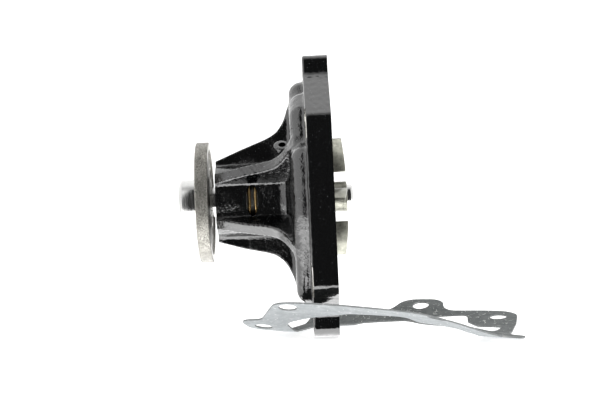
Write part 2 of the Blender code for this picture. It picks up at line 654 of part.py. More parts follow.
def gasket_height():
    """Thin-plate surface through the places where the sheet is held or rests."""
    lifts = np.array(GASKET_LIFTS, float) * MM

    def kernel(distance):
        return np.where(distance > 0, distance ** 2 * np.log(np.maximum(distance, 1e-9)), 0.0)

    places = lifts[:, :2]
    count = len(lifts)
    apart = np.linalg.norm(places[:, None] - places[None], axis=2)
    plane = np.column_stack([np.ones(count), places])
    matrix = np.block([[kernel(apart), plane], [plane.T, np.zeros((3, 3))]])
    solved = np.linalg.solve(matrix, np.concatenate([lifts[:, 2], np.zeros(3)]))

    def height(x, y):
        reach = np.linalg.norm(places - np.array((x, y)), axis=1)
        lift = kernel(reach) @ solved[:count] + solved[count:] @ np.array((1.0, x, y))
        table = -math.tan(TABLE_TILT) * (x + FLANGE_THICK)
        return FOOT_Z + max(lift, table + GASKET_REST)
    return height


def circle(centre, radius, count):
    return [Vector(centre) * MM + radius * Vector((math.cos(turn), math.sin(turn)))
            for turn in (2 * math.pi * step / count for step in range(count))]


def spaced(outline, longest):
    """Split long straight stretches of an outline."""
    points = []
    for here, there in zip(outline, outline[1:] + outline[:1]):
        pieces = max(1, math.ceil((there - here).length / longest))
        points += [here.lerp(there, step / pieces) for step in range(pieces)]
    return points


def gasket():
    """Fibre sheet cut to the flange's outline, laid round the foot in a trough."""
    loops = [spaced(rounded(FLANGE_CORNERS, steps=3), 8 * MM),
             spaced(rounded(CHAMBER_CORNERS, steps=2), 8 * MM),
             spaced(rounded(PORT_CORNERS, steps=2), 8 * MM)]
    loops += [circle(centre, BOLT_HOLE_RADIUS, 12) for centre in BOLTS.values()]
    bm = bmesh.new()
    for loop in loops:
        corners = [bm.verts.new((p.x, p.y, 0)) for p in loop]
        for index, corner in enumerate(corners):
            bm.edges.new((corners[index - 1], corner))
    bmesh.ops.triangle_fill(bm, use_beauty=True, use_dissolve=False, edges=bm.edges)
    raised = bmesh.ops.extrude_face_region(bm, geom=list(bm.faces))
    top = {item for item in raised["geom"] if isinstance(item, bmesh.types.BMVert)}
    height = gasket_height()
    yaw = math.radians(GASKET_YAW)
    for vert in bm.verts:
        across, along = vert.co.x, vert.co.y
        x = GASKET_CENTRE[0] + GASKET_SHRINK[0] * (along * math.cos(yaw) + across * math.sin(yaw))
        y = GASKET_CENTRE[1] + GASKET_SHRINK[1] * (across * math.cos(yaw) - along * math.sin(yaw))
        thick = GASKET_THICK if vert in top else 0.0
        vert.co = (x, y, height(x, y) + thick)
    return add_mesh("gasket", bm, "fibre")


def build():
    clear_scene()
    housing()
    hub_flange()
    shaft()
    outer_race()
    ball_row("front_ball", FRONT_ROW_X)
    ball_row("rear_ball", BACK_ROW_X)
    ball_cage("front_cage", FRONT_ROW_X, 1)
    ball_cage("rear_cage", BACK_ROW_X, -1)
    bearing_seal("front_bearing_seal", BEARING_FRONT, 1)
    bearing_seal("rear_bearing_seal", BEARING_BACK, -1)
    retaining_wire()
    slinger()
    seal_cup()
    seal_bellows()
    seal_spring()
    seal_retainers()
    carbon_ring()
    rotating_seat()
    impeller()
    gasket()


build()
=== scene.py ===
import math

import bmesh
import bpy
import numpy as np
from mathutils import Euler, Matrix, Vector


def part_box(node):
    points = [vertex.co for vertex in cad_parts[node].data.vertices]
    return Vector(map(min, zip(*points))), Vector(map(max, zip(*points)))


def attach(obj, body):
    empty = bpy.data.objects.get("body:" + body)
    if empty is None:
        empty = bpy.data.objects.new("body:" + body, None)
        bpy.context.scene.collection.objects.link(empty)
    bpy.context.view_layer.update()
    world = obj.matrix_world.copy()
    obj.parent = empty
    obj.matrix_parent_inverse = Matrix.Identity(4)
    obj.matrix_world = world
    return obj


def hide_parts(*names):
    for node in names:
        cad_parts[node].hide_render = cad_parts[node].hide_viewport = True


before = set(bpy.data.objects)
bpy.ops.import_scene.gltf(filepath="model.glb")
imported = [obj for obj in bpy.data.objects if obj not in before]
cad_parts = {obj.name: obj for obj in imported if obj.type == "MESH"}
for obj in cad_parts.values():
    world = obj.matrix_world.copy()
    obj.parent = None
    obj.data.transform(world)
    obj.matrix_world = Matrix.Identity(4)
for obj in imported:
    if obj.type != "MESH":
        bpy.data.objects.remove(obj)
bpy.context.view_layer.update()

# Fine shapes and finishes for the engine water pump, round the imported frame.
# Metres; +X runs along the shaft towards the engine, +Z is up, the hub is at -X.
MM = 0.001
SEED = 7

HOUSING_LOW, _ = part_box("pump_housing")
HUB_LOW, HUB_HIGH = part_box("hub_flange")
SHAFT_LOW, SHAFT_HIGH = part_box("bearing_shaft")
FLOOR_Z = HOUSING_LOW.z
NOSE_X = HOUSING_LOW.x

# The casting, in millimetres: outlines are (y, z, corner radius)
FLANGE_CORNERS = [
    (-60, -45, 8), (-60, 39.5, 6), (-29, 63, 6), (-29, 72.2, 5), (-8, 72.2, 8), (-3, 63, 6),
    (28, 63, 5), (50, 61, 10), (51, 20, 8), (67, 17, 9), (67, -5, 9), (54, -11, 8),
    (53, -55, 10), (-15, -55, 6), (-19, -70, 8), (-39, -70, 8), (-40, -58, 5),
]
BODY_CORNERS = [
    (-53, -9, 10), (-53, 24, 6), (-41, 28, 5), (-39, 45, 5), (-27, 53, 6), (-8, 53, 6),
    (-3, 61, 6), (22, 61, 6), (27, 46, 6), (36, 40, 6), (48, 38, 7), (48, 6, 7),
    (45, -8, 8), (48, -32, 6), (32, -36, 6), (30, -54, 7), (-14, -54, 7),
    (-37, -53, 6), (-43.5, -34, 9),
]
CHAMBER_CORNERS = [
    (-47.5, -10, 9), (-48, 18, 7), (-37, 23, 6), (-34, 42, 6), (-24, 49, 6), (2, 49, 6),
    (26, 31, 16), (41, 2, 16), (41, -25, 8), (25, -46, 8), (-10, -48, 8), (-33, -47, 6),
    (-39, -32, 6),
]
PORT_CORNERS = [
    (6, 53.5, 2.5), (19, 57, 3), (23, 43, 5), (33, 36, 5), (44.5, 34, 4), (44.5, 12, 3),
    (36, 23, 12), (21, 40, 12),
]
BOLTS = {
    "near_low": (-53.5, -40), "near_high": (-53, 34.6), "top": (-18.5, 62.5),
    "far_high": (38, 52), "far_mid": (57, 6), "far_low": (42, -44), "foot": (-29, -60.5),
}
EARS = ("top", "foot")
FLANGE_FRONT = -12.8
EAR_FRONT = -10.2
SPOTFACE_FRONT = -12.2
SPOTFACE_RADIUS = 9.0
BOLT_HOLE_RADIUS = 4.6
BODY_FRONT = -20.5
BODY_ROUND = 6.5
BODY_DRAFT = 0.05
CHAMBER_FLOOR = -15.0
BARREL_PROFILE = [
    (-64, 0), (-64, 18.5), (-35, 19.2), (-27, 19.6), (-24, 20.6), (-22, 23.5), (-20.5, 28),
    (-19, 30), (-14, 30.5), (-14, 0),
]
SIDE_CREST = [(-60.0, 21.3), (-47, 26), (-32, 30.6), (-26, 36), (-21.5, 45), (-18.5, 50)]
TOP_CREST = [(-60.0, 21.3), (-46, 27), (-31, 33), (-25, 39), (-21.5, 47), (-18.5, 51)]
LOW_CREST = [(-60.0, 21.3), (-46, 25.4), (-32, 28.8), (-25.5, 34), (-21, 43), (-18.5, 49)]
RIBS = [(35, SIDE_CREST), (-33, SIDE_CREST), (147, SIDE_CREST), (-147, SIDE_CREST),
        (92, TOP_CREST), (-88.6, LOW_CREST)]
RIB_HALF_WIDTH = 3.0
RIB_DRAFT = 0.07
RIB_EDGE = 0.55
BEARING_RADIUS = 15.3
BEARING_BACK = -26.3
CLIP_X = -41.4
CLIP_SLOT = 2.9
CLIP_TOP = 16.6
WINDOW = (3.1, 8.0)
SEAL_BORE_RADIUS = 18.6
VENT_ANGLE, VENT_X, VENT_ROOT, VENT_TOP = 51.0, -25.0, 17.5, 35.6
VENT_BOSS_RADIUS, VENT_HOLE_RADIUS = 4.2, 1.9
VENT_INNER = 14.0
DRAIN_X = -23.4                     # where the vent and the weep hole start
WEEP_RADIUS, WEEP_Y, WEEP_TOP, WEEP_BOTTOM = 3.0, 6, -14, -60
SHOULDER_RADIUS, SEAL_RELIEF, SEAL_STEP_X = 13.4, 16.4, -20
GRID_LOW, GRID_HIGH = (-64.5, -61.5, -75.0), (1.6, 68.5, 76.5)
VOXEL = 0.6
PEBBLE = 0.045                      # height of the casting's waviness

# The gasket: the flange's outline in sheet, bent into a trough round the foot
GASKET_THICK = 0.8
GASKET_YAW = 15.5
GASKET_CENTRE = (26.5, -13.0)
GASKET_SHRINK = (0.98, 0.97)
GASKET_REST = 0.4
TABLE_TILT = math.radians(2.6)      # the pump leans on its foot, so the table falls towards +X
GASKET_LIFTS = [
    (-25, -53, 17.1), (0, -67, 17.7), (0, -55, 13.4), (30, -74, 13.7), (31, -62, 10.4),
    (45, -71, 10.0), (48, -79, 9.5), (78, -56, -1.9), (81, -46, -3.5), (90, -48, -3.9),
    (68, -44, -1.9), (-38, -24, 5.4), (-47, -22, 6.5), (-26, -5, 0.5), (5, 34, 0.0),
    (3, 47, 4.8), (45, 23, 0.5), (47, 39, 7.7), (50, 48, 9.9), (86, 9, 1.8), (97, 18, 2.9),
    (70, 0, -1.5),
]

# Hub and shaft
HUB_FRONT, PILOT_RADIUS, HUB_EDGE = -69.9, 12.5, 0.7
HUB_HOLES, HUB_BOLT_CIRCLE, HUB_HOLE_RADIUS = 4, 21.0, 3.6
HUB_RIM_INNER = 27.3
SHAFT_RADIUS, TAIL_RADIUS = 7.96, 6.35
BALL_ROWS = (-53.0, -34.0)
TRACK_HALF, TRACK_DEPTH = 1.5, 0.5

# Impeller
COLLAR_RADIUS, IMPELLER_BORE, IMPELLER_RADIUS = 7.95, 6.4, 30.7
DISC_FRONT, DISC_BACK = -3.2, -1.2
VANE_ROOT_X, VANE_HALF_THICK = -2.4, 0.9
VANES, VANE_INNER, VANE_OUTER = 4, 13.5, 30.6
VANE_SWEEP, VANE_PHASE = 18.0, 87.0
VANE_INNER_X, VANE_OUTER_X = 7.8, 6.0


# ---------------------------------------------------------------- outlines
def polar(radius, degrees):
    """Point at an angle measured from the -Y side towards +Z, as (y, z)."""
    turn = math.radians(degrees)
    return -radius * math.cos(turn), radius * math.sin(turn)


def rounded(corners, steps=10):
    """Polygon with arcs for corners, as Vectors; corners are (y, z, radius)."""
    outline = []
    for index, (y, z, radius) in enumerate(corners):
        here = Vector((y, z))
        before = Vector(corners[index - 1][:2]) - here
        after = Vector(corners[(index + 1) % len(corners)][:2]) - here
        half = before.angle(after) / 2
        reach = min(radius / math.tan(half), 0.48 * before.length, 0.48 * after.length)
        start = here + before.normalized() * reach
        end = here + after.normalized() * reach
        middle = (before.normalized() + after.normalized()).normalized()
        centre = here + middle * reach / math.cos(half)
        sweep = (start - centre).angle_signed(end - centre)
        for step in range(steps + 1):
            turn = Matrix.Rotation(-sweep * step / steps, 2)
            outline.append(centre + turn @ (start - centre))
    return outline


def smooth_crest(points, steps=8):
    """Catmull-Rom curve through (x, radius) points."""
    knots = [Vector(point) for point in points]
    ends = [2 * knots[0] - knots[1]] + knots + [2 * knots[-1] - knots[-2]]
    curve = []
    for a, b, c, d in zip(ends, ends[1:], ends[2:], ends[3:]):
        for step in range(steps):
            t = step / steps
            curve.append(0.5 * (2 * b + (c - a) * t + (2 * a - 5 * b + 4 * c - d) * t ** 2
                                + (3 * b - a - 3 * c + d) * t ** 3))
    return curve + [knots[-1]]


# ---------------------------------------------------------------- distance fields
def outline_distance(outline, u, v):
    """Signed distance from points to a closed outline, negative inside."""
    nearest = np.full(u.shape, 1e9, np.float32)
    odd = np.zeros(u.shape, bool)
    for (au, av), (bu, bv) in zip(outline, outline[1:] + outline[:1]):
        eu, ev = bu - au, bv - av
        length = eu * eu + ev * ev
        if length < 1e-12:
            continue
        wu, wv = u - au, v - av
        along = np.clip((wu * eu + wv * ev) / length, 0, 1)
        nearest = np.minimum(nearest, (wu - along * eu) ** 2 + (wv - along * ev) ** 2)
        if ev:
            odd ^= ((av > v) != (bv > v)) & (u < eu * wv / ev + au)
    return np.where(odd, -1, 1) * np.sqrt(nearest)


def meet(a, b, edge):
    """Both shapes at once, with the edge between them rounded."""
    a, b = a + edge, b + edge
    outside = np.hypot(np.maximum(a, 0), np.maximum(b, 0))
    return np.minimum(np.maximum(a, b), 0) + outside - edge


def blended(a, b, fillet):
    """Either shape, with a fillet where they join."""
    near = np.maximum(fillet - np.abs(a - b), 0) / fillet
    return np.minimum(a, b) - near * near * fillet / 4


def swept(table, axis, radius):
    """Read a table of (x, radius) distances at every point's radius."""
    return np.stack([np.interp(radius, axis, row) for row in table]).astype(np.float32)


def casting_field(xs, ys, zs):
    """Signed distance to the raw casting, before anything is machined."""
    y, z = np.meshgrid(ys, zs, indexing="ij")
    x = xs[:, None, None]
    radii = np.arange(-70, 75, 0.4)
    px, pr = np.meshgrid(xs, radii, indexing="ij")

    def plate(corners, front, edge, draft=0.0):
        flat = outline_distance([tuple(p) for p in rounded(corners)], y, z)[None]
        return meet(flat + draft * (FLANGE_FRONT - x), front - x, edge)

    flange = plate(FLANGE_CORNERS, FLANGE_FRONT, 0.9)
    body = plate(BODY_CORNERS, BODY_FRONT, BODY_ROUND, BODY_DRAFT)
    body = np.maximum(body, x + 6)
    field = blended(flange, body, 1.6)
    barrel = outline_distance(BARREL_PROFILE, px, np.abs(pr))
    field = blended(field, swept(barrel, radii, np.hypot(y, z)), 3.0)
    for angle, crest in RIBS:
        cy, cz = polar(1, angle)
        out, side = y * cy + z * cz, y * cz - z * cy
        curve = [tuple(p) for p in smooth_crest(crest)]
        web = [(-64, curve[0][1] - 1.1)] + curve + [(-12, 50), (-12, 12), (-64, 12)]
        depth = swept(outline_distance(web, px, pr), radii, out)
        width = RIB_HALF_WIDTH + RIB_DRAFT * np.clip(-depth, 0, 12)
        field = blended(field, meet(depth, np.abs(side)[None] - width, RIB_EDGE), 2.4)
    by, bz = polar(1, VENT_ANGLE)
    out = y * by + z * bz
    boss = np.hypot(x - VENT_X, (y * bz - z * by)[None]) - VENT_BOSS_RADIUS
    tower = meet(boss, np.maximum(out - VENT_TOP, VENT_ROOT - out)[None] + 0 * x, 0.7)
    field = blended(field, tower, 1.3)
    for corners in (CHAMBER_CORNERS, PORT_CORNERS):
        hollow = plate(corners, CHAMBER_FLOOR, 2.0)
        field = np.maximum(field, -hollow)
    draw = np.random.default_rng(SEED)
    ripple = 0
    for _ in range(9):
        way = draw.normal(size=3)
        way *= 2 * math.pi / draw.uniform(2.2, 5.0) / np.linalg.norm(way)
        phase = way[0] * x + (way[1] * y + way[2] * z)[None] + draw.uniform(0, 6.28)
        ripple = ripple + np.sin(phase)
    return (field + PEBBLE / 3 * ripple).astype(np.float32)


def surface(field, origin, step):
    """Quads on the field's zero level, each point drawn onto it."""
    inside = field < 0
    size = np.array(field.shape) - 1
    corners = [(i, j, k) for i in (0, 1) for j in (0, 1) for k in (0, 1)]
    filled = np.zeros(size, np.uint8)
    for i, j, k in corners:
        filled += inside[i:i + size[0], j:j + size[1], k:k + size[2]]
    active = (filled > 0) & (filled < 8)
    number = np.full(size, -1, np.int64)
    number[active] = np.arange(active.sum())
    cells = np.argwhere(active)
    total, hits = np.zeros((len(cells), 3)), np.zeros((len(cells), 1))
    for a in corners:
        for axis in range(3):
            if a[axis]:
                continue
            b = tuple(1 if n == axis else a[n] for n in range(3))
            va = field[tuple((cells + a).T)][:, None]
            vb = field[tuple((cells + b).T)][:, None]
            cut = (va < 0) != (vb < 0)
            share = np.where(cut, va / np.where(cut, va - vb, 1), 0)
            total += cut * (np.array(a) + share * (np.array(b) - np.array(a)))
            hits += cut
    points = cells + total / hits
    for _ in range(3):
        points = settled(field, points)
    faces = []
    for axis in range(3):
        b, c = (axis + 1) % 3, (axis + 2) % 3
        low = np.take(inside, range(size[axis]), axis)
        high = np.take(inside, range(1, size[axis] + 1), axis)
        at = np.argwhere(low != high)
        at = at[(at[:, b] > 0) & (at[:, c] > 0) & (at[:, b] < size[b]) & (at[:, c] < size[c])]
        ring = []
        for back_b, back_c in ((1, 1), (0, 1), (0, 0), (1, 0)):
            cell = at.copy()
            cell[:, b] -= back_b
            cell[:, c] -= back_c
            ring.append(number[tuple(cell.T)])
        ring = np.stack(ring, 1)
        outward = low[tuple(at.T)]
        ring[~outward] = ring[~outward, ::-1]
        faces.append(ring)
    return origin + points * step, np.concatenate(faces)


def read(field, points):
    """The field's value between its samples."""
    base = np.clip(np.floor(points).astype(int), 0, np.array(field.shape) - 2)
    part = points - base
    value = 0
    for corner in np.ndindex(2, 2, 2):
        weight = np.prod(np.where(corner, part, 1 - part), axis=1)
        value = value + weight * field[tuple((base + corner).T)]
    return value


def settled(field, points):
    """Move points along the field's slope onto its zero level."""
    slope = np.stack([read(field, points + shift) - read(field, points - shift)
                      for shift in np.eye(3) * 0.5], 1)
    steep = np.maximum((slope ** 2).sum(1, keepdims=True), 1e-6)
    move = read(field, points)[:, None] * slope / steep
    return points - np.clip(move, -0.35, 0.35)


# ---------------------------------------------------------------- meshes
def mesh_object(name, verts, faces, finish, sharp=35):
    mesh = bpy.data.meshes.new(name)
    mesh.from_pydata(verts, [], faces)
    mesh.materials.append(finish)
    return placed(name, mesh, sharp)


def placed(name, mesh, sharp=35):
    mesh.validate()
    mesh.shade_smooth()
    mesh.set_sharp_from_angle(angle=math.radians(sharp))
    obj = bpy.data.objects.new(name, mesh)
    bpy.context.scene.collection.objects.link(obj)
    return obj


def from_bmesh(name, bm, finish, sharp=35):
    bmesh.ops.recalc_face_normals(bm, faces=bm.faces)
    mesh = bpy.data.meshes.new(name)
    bm.to_mesh(mesh)
    bm.free()
    mesh.materials.append(finish)
    return placed(name, mesh, sharp)


def turned(name, profile, segments, finish, centre=(0, 0), sharp=35):
    """Spin a closed (x, radius) profile in millimetres round an axis along X."""
    bm = bmesh.new()
    rings = []
    for x, radius in profile:
        if radius == 0:
            rings.append([bm.verts.new((x * MM, centre[0] * MM, centre[1] * MM))] * segments)
            continue
        ring = []
        for step in range(segments):
            y, z = polar(radius, 360.0 * step / segments)
            ring.append(bm.verts.new((x * MM, (y + centre[0]) * MM, (z + centre[1]) * MM)))
        rings.append(ring)
    for here, there in zip(rings, rings[1:] + rings[:1]):
        for step in range(segments):
            after = (step + 1) % segments
            unique = list(dict.fromkeys((here[step], here[after], there[after], there[step])))
            if len(unique) > 2:
                bm.faces.new(unique)
    return from_bmesh(name, bm, finish, sharp)


def prism(name, outline, low, high, finish):
    """Solid between two X planes with a (y, z) outline in millimetres."""
    bm = bmesh.new()
    rings = [[bm.verts.new((x * MM, p[0] * MM, p[1] * MM)) for p in outline] for x in (low, high)]
    for index in range(len(outline)):
        after = (index + 1) % len(outline)
        bm.faces.new((rings[0][index], rings[0][after], rings[1][after], rings[1][index]))
    bm.faces.new(rings[0])
    bm.faces.new(rings[1])
    return from_bmesh(name, bm, finish)


def rod(name, start, end, radius, segments, finish):
    start, end = Vector(start) * MM, Vector(end) * MM
    bm = bmesh.new()
    bmesh.ops.create_cone(bm, cap_ends=True, segments=segments, radius1=radius * MM,
                          radius2=radius * MM, depth=(end - start).length)
    turn = (end - start).to_track_quat("Z", "Y").to_matrix().to_4x4()
    bmesh.ops.transform(bm, matrix=Matrix.Translation((start + end) / 2) @ turn, verts=bm.verts)
    return from_bmesh(name, bm, finish)


def combine(target, others, operation, sharp=35):
    """Apply Booleans one after another; cut faces keep the cutter's finish."""
    for other in others:
        step = target.modifiers.new(other.name, "BOOLEAN")
        step.object = other
        step.operation = operation
        step.solver = "MANIFOLD"
        step.material_mode = "TRANSFER"
    depsgraph = bpy.context.evaluated_depsgraph_get()
    mesh = bpy.data.meshes.new_from_object(target.evaluated_get(depsgraph))
    target.modifiers.clear()
    target.data = mesh
    mesh.shade_smooth()
    mesh.set_sharp_from_angle(angle=math.radians(sharp))
    for other in others:
        bpy.data.objects.remove(other, do_unlink=True)
    return target


def bevelled(obj, width, segments=2, angle=40):
    """Round the object's sharp edges and apply the result."""
    step = obj.modifiers.new("edge", "BEVEL")
    step.width = width * MM
    step.segments = segments
    step.limit_method = "ANGLE"
    step.angle_limit = math.radians(angle)
    depsgraph = bpy.context.evaluated_depsgraph_get()
    mesh = bpy.data.meshes.new_from_object(obj.evaluated_get(depsgraph))
    obj.modifiers.clear()
    obj.data = mesh
    return obj


def tube(name, path, radius, sides, finish):
    """Round wire along a list of points, with domed ends."""
    bm = bmesh.new()
    rings = []
    normal = Vector((1, 0, 0))
    first, last = (path[1] - path[0]).normalized(), (path[-1] - path[-2]).normalized()
    domes = [(math.cos(math.radians(a)), math.sin(math.radians(a))) for a in (15, 45, 70)]
    stations = [(path[0] - first * radius * s, first, radius * c) for s, c in
                reversed([(b, a) for a, b in domes])]
    for index, here in enumerate(path):
        before, after = path[max(index - 1, 0)], path[min(index + 1, len(path) - 1)]
        stations.append((here, (after - before).normalized(), radius))
    stations += [(path[-1] + last * radius * b, last, radius * a) for a, b in domes]
    for here, along, reach in stations:
        normal = (normal - normal.dot(along) * along).normalized()
        other = along.cross(normal)
        rings.append([bm.verts.new(here + reach * (math.cos(turn) * normal + math.sin(turn) * other))
                      for turn in (2 * math.pi * side / sides for side in range(sides))])
    for here, there in zip(rings, rings[1:]):
        for side in range(sides):
            after = (side + 1) % sides
            bm.faces.new((here[side], here[after], there[after], there[side]))
    bm.faces.new(rings[0])
    bm.faces.new(rings[-1])
    return from_bmesh(name, bm, finish, 60)


# ---------------------------------------------------------------- finishes
class Finish:
    """A Principled material with a few short ways to add texture nodes."""

    def __init__(self, name, colour, metallic=0.0, roughness=0.5, **sockets):
        self.material = bpy.data.materials.new(name)
        self.material.use_nodes = True
        self.tree = self.material.node_tree
        self.shader = self.tree.nodes["Principled BSDF"]
        self.place = self.node("ShaderNodeTexCoord").outputs["Object"]
        self.set("Base Color", (*colour, 1.0))
        self.set("Metallic", metallic)
        self.set("Roughness", roughness)
        for socket, value in sockets.items():
            self.set(socket.replace("_", " "), value)

    def set(self, socket, value):
        self.shader.inputs[socket].default_value = value

    def node(self, kind):
        return self.tree.nodes.new(kind)

    def link(self, source, target):
        self.tree.links.new(source, target)

    def stretched(self, scale):
        mapping = self.node("ShaderNodeMapping")
        mapping.inputs["Scale"].default_value = scale
        self.link(self.place, mapping.inputs["Vector"])
        return mapping.outputs["Vector"]

    def noise(self, scale, detail=2.0, rough=0.5, stretch=None):
        made = self.node("ShaderNodeTexNoise")
        made.inputs["Scale"].default_value = scale
        made.inputs["Detail"].default_value = detail
        made.inputs["Roughness"].default_value = rough
        self.link(self.stretched(stretch) if stretch else self.place, made.inputs["Vector"])
        return made.outputs["Fac"]

    def cells(self, scale, stretch=None):
        made = self.node("ShaderNodeTexVoronoi")
        made.inputs["Scale"].default_value = scale
        self.link(self.stretched(stretch) if stretch else self.place, made.inputs["Vector"])
        return made.outputs["Distance"]

    def ranged(self, value, low, high, to_low=0.0, to_high=1.0):
        made = self.node("ShaderNodeMapRange")
        made.interpolation_type = "SMOOTHSTEP"
        for socket, number in zip(("From Min", "From Max", "To Min", "To Max"),
                                  (low, high, to_low, to_high)):
            made.inputs[socket].default_value = number
        self.link(value, made.inputs["Value"])
        return made.outputs["Result"]

    def maths(self, operation, a, b):
        made = self.node("ShaderNodeMath")
        made.operation = operation
        for socket, value in zip(made.inputs, (a, b)):
            if isinstance(value, (int, float)):
                socket.default_value = value
            else:
                self.link(value, socket)
        return made.outputs["Value"]

    def mixed(self, share, a, b):
        made = self.node("ShaderNodeMix")
        made.data_type = "RGBA"
        self.link(share, made.inputs["Factor"])
        for socket, value in ((made.inputs["A"], a), (made.inputs["B"], b)):
            sockets = [s for s in made.inputs if s.name == socket.name and s.type == "RGBA"]
            if isinstance(value, tuple):
                sockets[0].default_value = (*value, 1.0)
            else:
                self.link(value, sockets[0])
        return [s for s in made.outputs if s.type == "RGBA"][0]

    def colour(self, source):
        self.link(source, self.shader.inputs["Base Color"])
        return self

    def rough(self, source):
        self.link(source, self.shader.inputs["Roughness"])
        return self

    def bump(self, height, distance, strength=1.0):
        made = self.node("ShaderNodeBump")
        made.inputs["Distance"].default_value = distance * MM
        made.inputs["Strength"].default_value = strength
        self.link(height, made.inputs["Height"])
        self.link(made.outputs["Normal"], self.shader.inputs["Normal"])
        return self


def black_paint():
    """Gloss paint over a pebbled casting; the flange's own skin is smoother."""
    made = Finish("black_gloss_paint", (0.002, 0.0022, 0.0024), 0.0, 0.11, IOR=1.8)
    parts = made.node("ShaderNodeSeparateXYZ")
    made.link(made.place, parts.inputs[0])
    skin = made.ranged(parts.outputs["X"], -0.0140, -0.0122, 1.0, 0.16)
    region = made.ranged(made.noise(60, 2), 0.38, 0.60, 0.25, 1.0)
    pebble = made.noise(850, 2, 0.6)
    grain = made.cells(1100)
    height = made.maths("ADD", pebble, made.maths("MULTIPLY", grain, 0.4))
    made.bump(made.maths("MULTIPLY", made.maths("MULTIPLY", height, region), skin), 0.30, 1.0)
    dust = made.ranged(made.noise(2400, 0, 0.5), 0.80, 0.85)
    made.colour(made.mixed(dust, (0.002, 0.0022, 0.0024), (0.20, 0.21, 0.22)))
    made.rough(made.ranged(made.noise(420, 3), 0.3, 0.75, 0.09, 0.16))
    return made.material


def blasted_steel():
    """Shot-blasted forging: coarse matt grain with pale and dark specks."""
    made = Finish("blasted_steel", (0.4, 0.39, 0.36), 0.85, 0.55)
    grain = made.noise(1900, 2, 0.7)
    patch = made.noise(160, 3)
    tone = made.maths("ADD", made.maths("MULTIPLY", grain, 0.75), made.maths("MULTIPLY", patch, 0.25))
    made.colour(made.mixed(made.ranged(tone, 0.36, 0.64), (0.10, 0.097, 0.085), (0.36, 0.35, 0.32)))
    made.rough(made.ranged(grain, 0.3, 0.7, 0.62, 0.42))
    made.bump(grain, 0.10, 0.8)
    return made.material


def turned_steel(name, colour, roughness, pitch=2.6, depth=0.004):
    """Lathe-cut or ground steel with fine rings round the shaft's axis."""
    made = Finish(name, colour, 1.0, roughness)
    rings = made.noise(pitch * 1000, 1, 0.5, (1.0, 0.02, 0.02))
    stain = made.noise(120, 3)
    low = tuple(0.86 * c for c in colour)
    made.colour(made.mixed(made.ranged(stain, 0.35, 0.7), colour, low))
    made.rough(made.ranged(rings, 0.3, 0.7, roughness * 0.75, roughness * 1.35))
    made.bump(rings, depth, 1.0)
    return made.material


def milled_iron():
    """Bare cast iron after milling: parallel cutter marks and small dark pores."""
    made = Finish("milled_iron", (0.5, 0.49, 0.46), 1.0, 0.34)
    marks = made.noise(1400, 1, 0.5, (1.0, 0.04, 1.0))
    pores = made.ranged(made.noise(2300, 0), 0.70, 0.76)
    made.colour(made.mixed(pores, (0.52, 0.51, 0.48), (0.14, 0.13, 0.12)))
    made.rough(made.ranged(marks, 0.3, 0.7, 0.24, 0.42))
    made.bump(marks, 0.008, 1.0)
    return made.material


def plated_sheet(name, colour, roughness=0.4):
    made = Finish(name, colour, 0.95, roughness)
    cloud = made.noise(210, 4, 0.6)
    fine = made.noise(1500, 2)
    low = tuple(0.62 * c for c in colour)
    made.colour(made.mixed(made.ranged(cloud, 0.38, 0.66), colour, low))
    made.rough(made.ranged(fine, 0.3, 0.7, roughness * 0.8, roughness * 1.3))
    made.bump(made.maths("ADD", made.maths("MULTIPLY", cloud, 2.0), fine), 0.02, 0.6)
    return made.material


def fibre(name, dark, light, fleck):
    """Pressed fibre sheet with pale flecks and short fibres in every direction."""
    made = Finish(name, light, 0.0, 0.82)
    cloud = made.noise(240, 4, 0.65)
    fibres = made.noise(900, 2, 0.6, (1.0, 0.25, 0.6))
    across = made.noise(900, 2, 0.6, (0.25, 1.0, 0.6))
    flecks = made.ranged(made.maths("MAXIMUM", fibres, across), 0.64, 0.71)
    ground = made.mixed(made.ranged(cloud, 0.35, 0.68), dark, light)
    made.colour(made.mixed(flecks, ground, fleck))
    made.bump(made.maths("ADD", fibres, across), 0.03, 0.7)
    return made.material


def plain(name, colour, metallic, roughness, scale=900, depth=0.01, spread=0.25):
    """Simple finish with a little variation in colour, gloss and height."""
    made = Finish(name, colour, metallic, roughness)
    grain = made.noise(scale, 3)
    low = tuple((1 - spread) * c for c in colour)
    made.colour(made.mixed(made.ranged(grain, 0.35, 0.65), colour, low))
    made.rough(made.ranged(grain, 0.3, 0.7, roughness * 0.85, roughness * 1.2))
    made.bump(grain, depth, 0.6)
    return made.material


PAINT = black_paint()
MILLED = milled_iron()
BLASTED = blasted_steel()
PILOT = turned_steel("turned_pilot", (0.56, 0.56, 0.55), 0.2)
FACED = turned_steel("faced_hub", (0.60, 0.59, 0.56), 0.3, 1.6, 0.012)
GROUND = turned_steel("ground_shaft", (0.58, 0.58, 0.57), 0.12)
BORED = turned_steel("bored_iron", (0.42, 0.41, 0.39), 0.35, 1.8, 0.01)
PLATED = plated_sheet("plated_sheet", (0.28, 0.28, 0.24), 0.34)
# The gasket is one grey fibre sheet in three painted tones: the underside is painted light, as if lit
# by the table below; the top side is painted in shade; the cut edge is painted a shade between the
# two.
GASKET_LIT_UNDERSIDE = fibre("gasket_underside_painted_light", (0.34, 0.36, 0.37), (0.43, 0.45, 0.46), (0.62, 0.63, 0.63))
GASKET_SHADED_TOP = fibre("gasket_top_painted_shade", (0.09, 0.10, 0.10), (0.13, 0.14, 0.14), (0.50, 0.51, 0.49))
GASKET_SHADED_EDGE = fibre("gasket_cut_edge_painted_shade", (0.20, 0.21, 0.21), (0.28, 0.29, 0.29), (0.4, 0.4, 0.4))
WIRE = plain("clip_wire_plated", (0.83, 0.58, 0.26), 1.0, 0.22)


